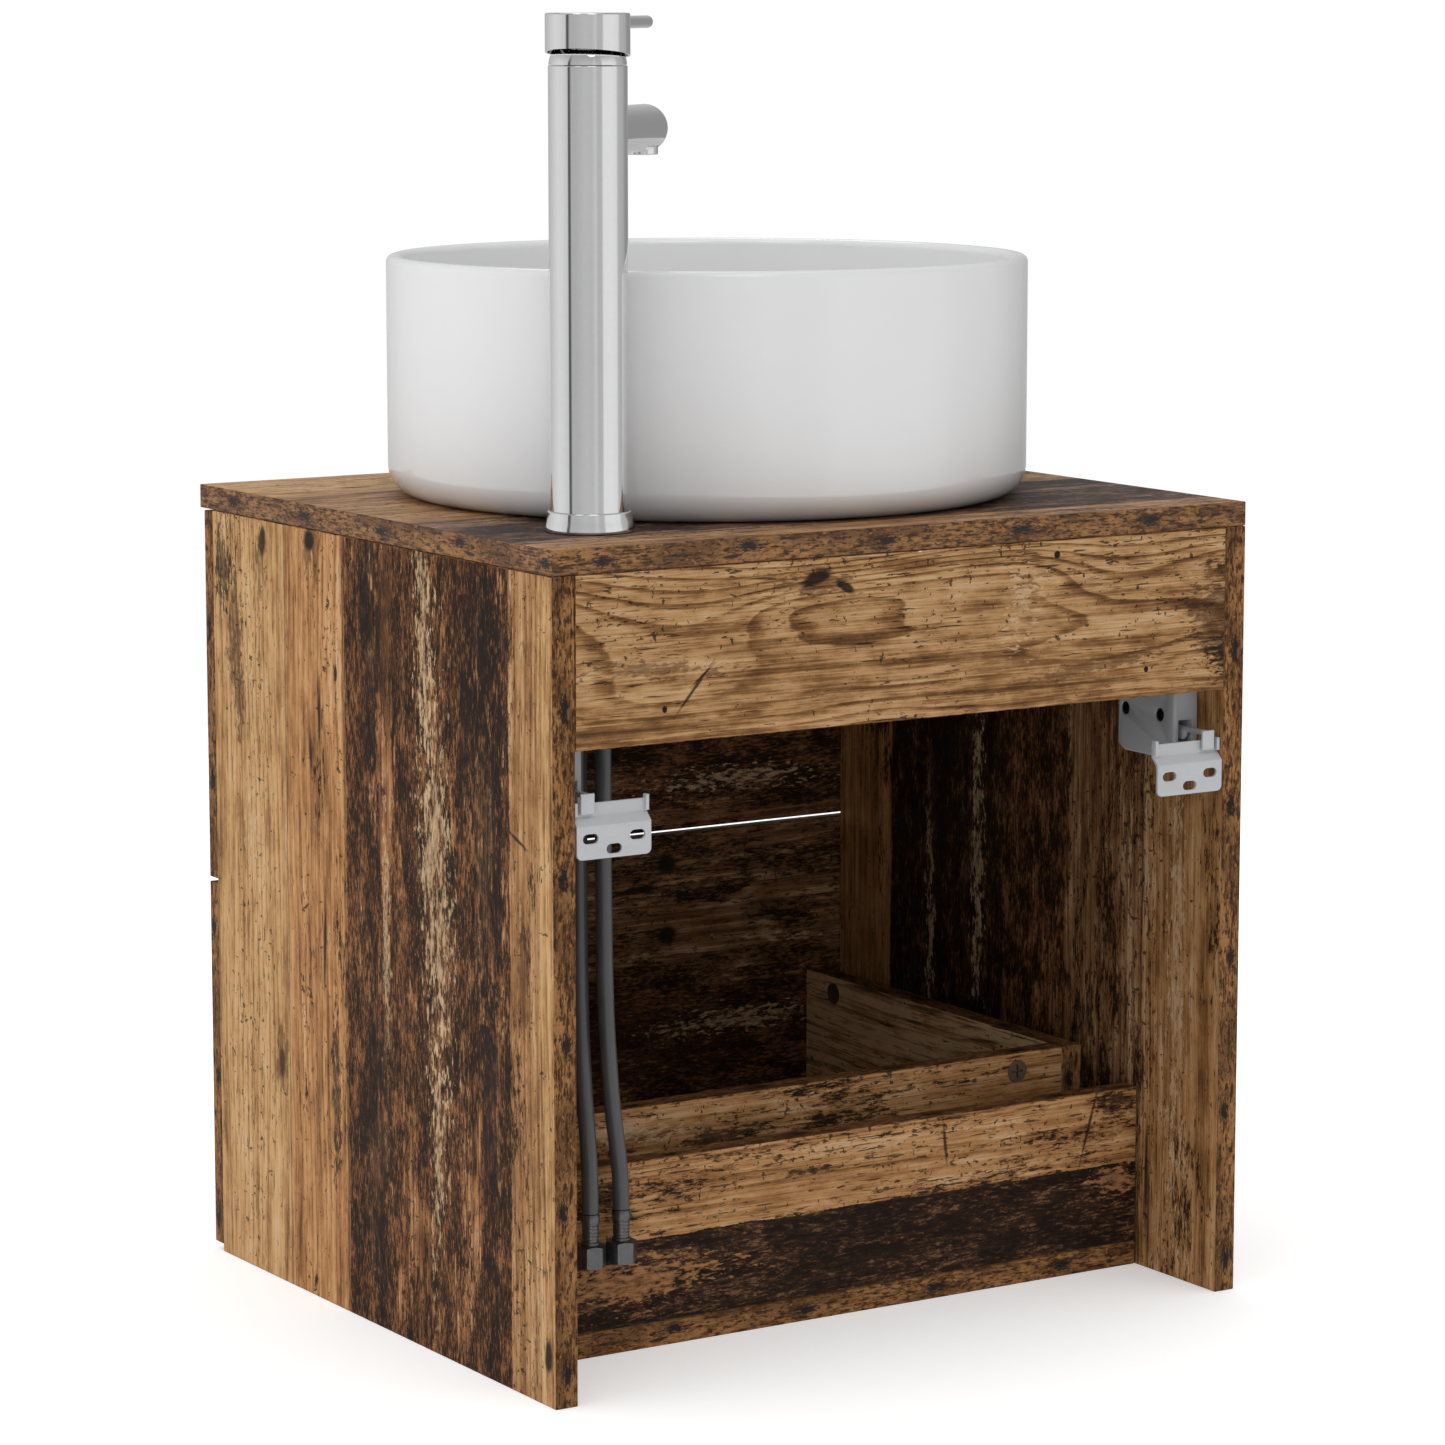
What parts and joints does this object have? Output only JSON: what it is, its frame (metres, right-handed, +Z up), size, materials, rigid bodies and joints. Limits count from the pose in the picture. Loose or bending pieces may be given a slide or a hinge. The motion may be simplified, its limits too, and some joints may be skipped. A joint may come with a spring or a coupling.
{
  "type": "bathroom vanity cabinet",
  "caption": "Wall-hung wooden vanity cabinet with a full-extension drawer, a round ceramic basin standing on its top, a lever mixer tap, supply hoses and adjustable wall hangers.",
  "frame": {"origin": "middle of the cabinet's underside, centred between the side panels and between wall plane and front edge of the countertop", "axes": "+Z up, +Y towards the wall, drawer opens towards -Y, +X towards the side with the tap"},
  "size_m": [0.5, 0.446, 0.8043],
  "materials": {
    "old_wood_light": "printed old-plank foil, light boards, semi-matt",
    "old_wood_dark": "printed old-plank foil, scorched dark boards, semi-matt",
    "ceramic_white": "white glaze, glossy",
    "chrome": "polished chrome plate",
    "zinc_steel": "zinc-plated steel, satin",
    "hanger_white": "light grey powder coat",
    "dark_screw": "blackened steel",
    "hose_rubber": "smooth dark grey hose",
    "brass_nickel": "nickel-plated brass, satin",
    "black_rubber": "black sealing rubber",
    "cartridge_plastic": "moulded plastic"
  },
  "bodies": {
    "cabinet": {"side_panel_left": "old_wood_light", "side_panel_right": "old_wood_light", "bottom_panel": "old_wood_light", "rear_top_rail": "old_wood_light", "front_rail": "old_wood_light", "rear_lower_board": "old_wood_dark", "upper_front": "old_wood_dark", "countertop": "old_wood_dark", "basin": "ceramic_white", "waste_body": "chrome", "waste_nut": "chrome", "tap_flange": "chrome", "tap_body": "chrome", "tap_collar": "chrome", "tap_spout": "chrome", "tap_aerator": "chrome", "slide_outer_left": "zinc_steel", "slide_outer_right": "zinc_steel", "hanger_housing_left": "hanger_white", "hanger_housing_right": "hanger_white", "hanger_screw_left_1": "dark_screw", "hanger_screw_left_2": "dark_screw", "hanger_screw_right_1": "dark_screw", "hanger_screw_right_2": "dark_screw", "hose_left": "hose_rubber", "hose_right": "hose_rubber", "tap_shank": "brass_nickel", "tap_nut": "brass_nickel", "hose_ferrule_left": "brass_nickel", "hose_ferrule_right": "brass_nickel", "hose_nut_left": "brass_nickel", "hose_nut_right": "brass_nickel", "tap_washer": "black_rubber", "waste_washer": "black_rubber", "tap_cartridge": "cartridge_plastic", "waste_guide": "cartridge_plastic"},
    "drawer": {"drawer_front": "old_wood_dark", "drawer_side_left": "old_wood_light", "drawer_side_right": "old_wood_light", "drawer_back": "old_wood_dark", "drawer_base": "old_wood_light", "drawer_cam_front_left": "zinc_steel", "drawer_cam_front_right": "zinc_steel", "drawer_cam_back_left": "zinc_steel", "drawer_cam_back_right": "zinc_steel", "slide_inner_left": "zinc_steel", "slide_inner_right": "zinc_steel"},
    "slide_left": {"slide_middle_left": "zinc_steel"},
    "slide_right": {"slide_middle_right": "zinc_steel"},
    "tap_swivel": {"tap_spindle": "brass_nickel"},
    "tap_handle": {"tap_cap": "chrome", "tap_lever": "chrome", "tap_stem": "brass_nickel"},
    "waste_plug": {"waste_plug": "chrome"},
    "hanger_carriage_left": {"hanger_carriage_left": "zinc_steel"},
    "hanger_hook_left": {"hanger_hook_left": "hanger_white", "wall_plate_left": "hanger_white"},
    "hanger_carriage_right": {"hanger_carriage_right": "zinc_steel"},
    "hanger_hook_right": {"hanger_hook_right": "hanger_white", "wall_plate_right": "hanger_white"}
  },
  "joints": [
    {"name": "drawer_slide", "type": "slide", "parent": "cabinet", "child": "drawer", "axis": [0, -1, 0], "range_m": [0, 0.25]},
    {"name": "slide_left_travel", "type": "slide", "parent": "cabinet", "child": "slide_left", "axis": [0, -1, 0], "range_m": [0, 0.125]},
    {"name": "slide_right_travel", "type": "slide", "parent": "cabinet", "child": "slide_right", "axis": [0, -1, 0], "range_m": [0, 0.125]},
    {"name": "tap_turn", "type": "hinge", "parent": "cabinet", "child": "tap_swivel", "pos_m": [0.18, 0.148, 0.7742], "axis": [0, 0, 1], "range_deg": [-45, 45]},
    {"name": "tap_lift", "type": "hinge", "parent": "tap_swivel", "child": "tap_handle", "pos_m": [0.18, 0.148, 0.7742], "axis": [-0.6549, 0.7557, 0], "range_deg": [0, 20]},
    {"name": "plug_travel", "type": "slide", "parent": "cabinet", "child": "waste_plug", "axis": [0, 0, 1], "range_m": [0, 0.008]},
    {"name": "hanger_left_height", "type": "slide", "parent": "cabinet", "child": "hanger_carriage_left", "axis": [0, 0, 1], "range_m": [-0.002, 0.002]},
    {"name": "hanger_left_depth", "type": "slide", "parent": "hanger_carriage_left", "child": "hanger_hook_left", "axis": [0, 1, 0], "range_m": [-0.003, 0.008]},
    {"name": "hanger_right_height", "type": "slide", "parent": "cabinet", "child": "hanger_carriage_right", "axis": [0, 0, 1], "range_m": [-0.002, 0.002]},
    {"name": "hanger_right_depth", "type": "slide", "parent": "hanger_carriage_right", "child": "hanger_hook_right", "axis": [0, 1, 0], "range_m": [-0.003, 0.008]}
  ],
  "couplings": [
    {"joint": "slide_left_travel", "follows": "drawer_slide", "ratio": 0.5},
    {"joint": "slide_right_travel", "follows": "drawer_slide", "ratio": 0.5}
  ]
}
